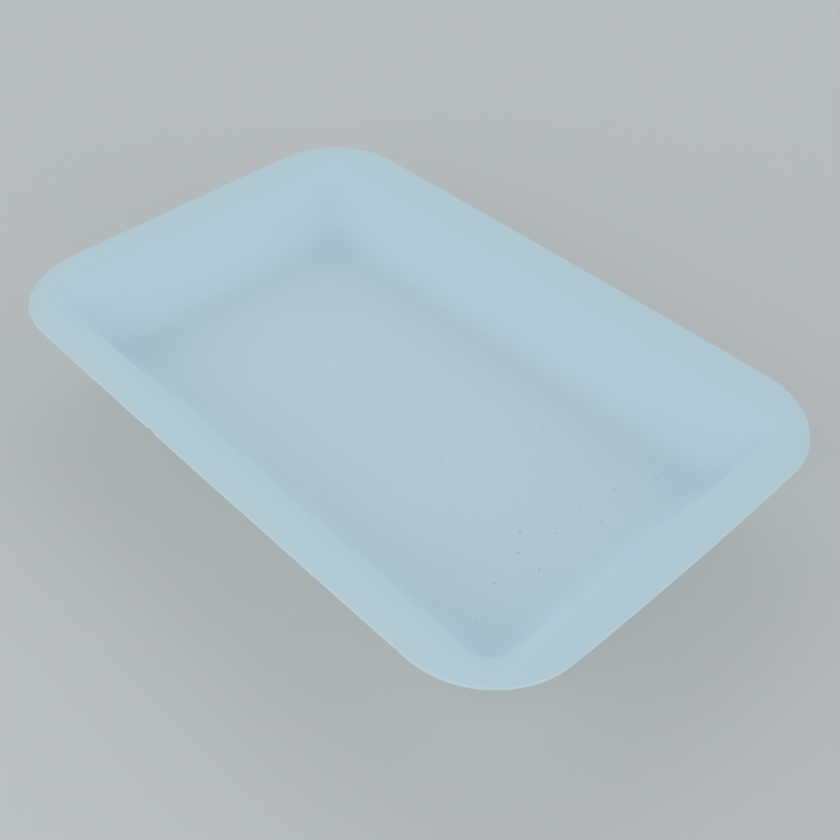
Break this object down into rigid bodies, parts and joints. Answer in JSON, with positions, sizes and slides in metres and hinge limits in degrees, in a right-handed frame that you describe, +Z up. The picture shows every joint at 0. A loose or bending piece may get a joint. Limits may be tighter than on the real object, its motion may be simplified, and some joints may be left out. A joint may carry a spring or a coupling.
{
  "type": "foam meat tray",
  "caption": "Shallow rectangular foam food tray with a flat floor, flared walls, rounded corners and a rim that rolls over and droops outward.",
  "frame": {"origin": "middle of the flat underside, on the surface that the tray stands on", "axes": "+X along the tray's length, +Y across its width, +Z up out of its open top"},
  "size_m": [0.215, 0.14, 0.0285],
  "materials": {
    "foam": "fine-celled expanded polystyrene skin, matt with a faint sheen, pale blue-white"
  },
  "bodies": {
    "root": {"tray": "foam"}
  },
  "joints": []
}
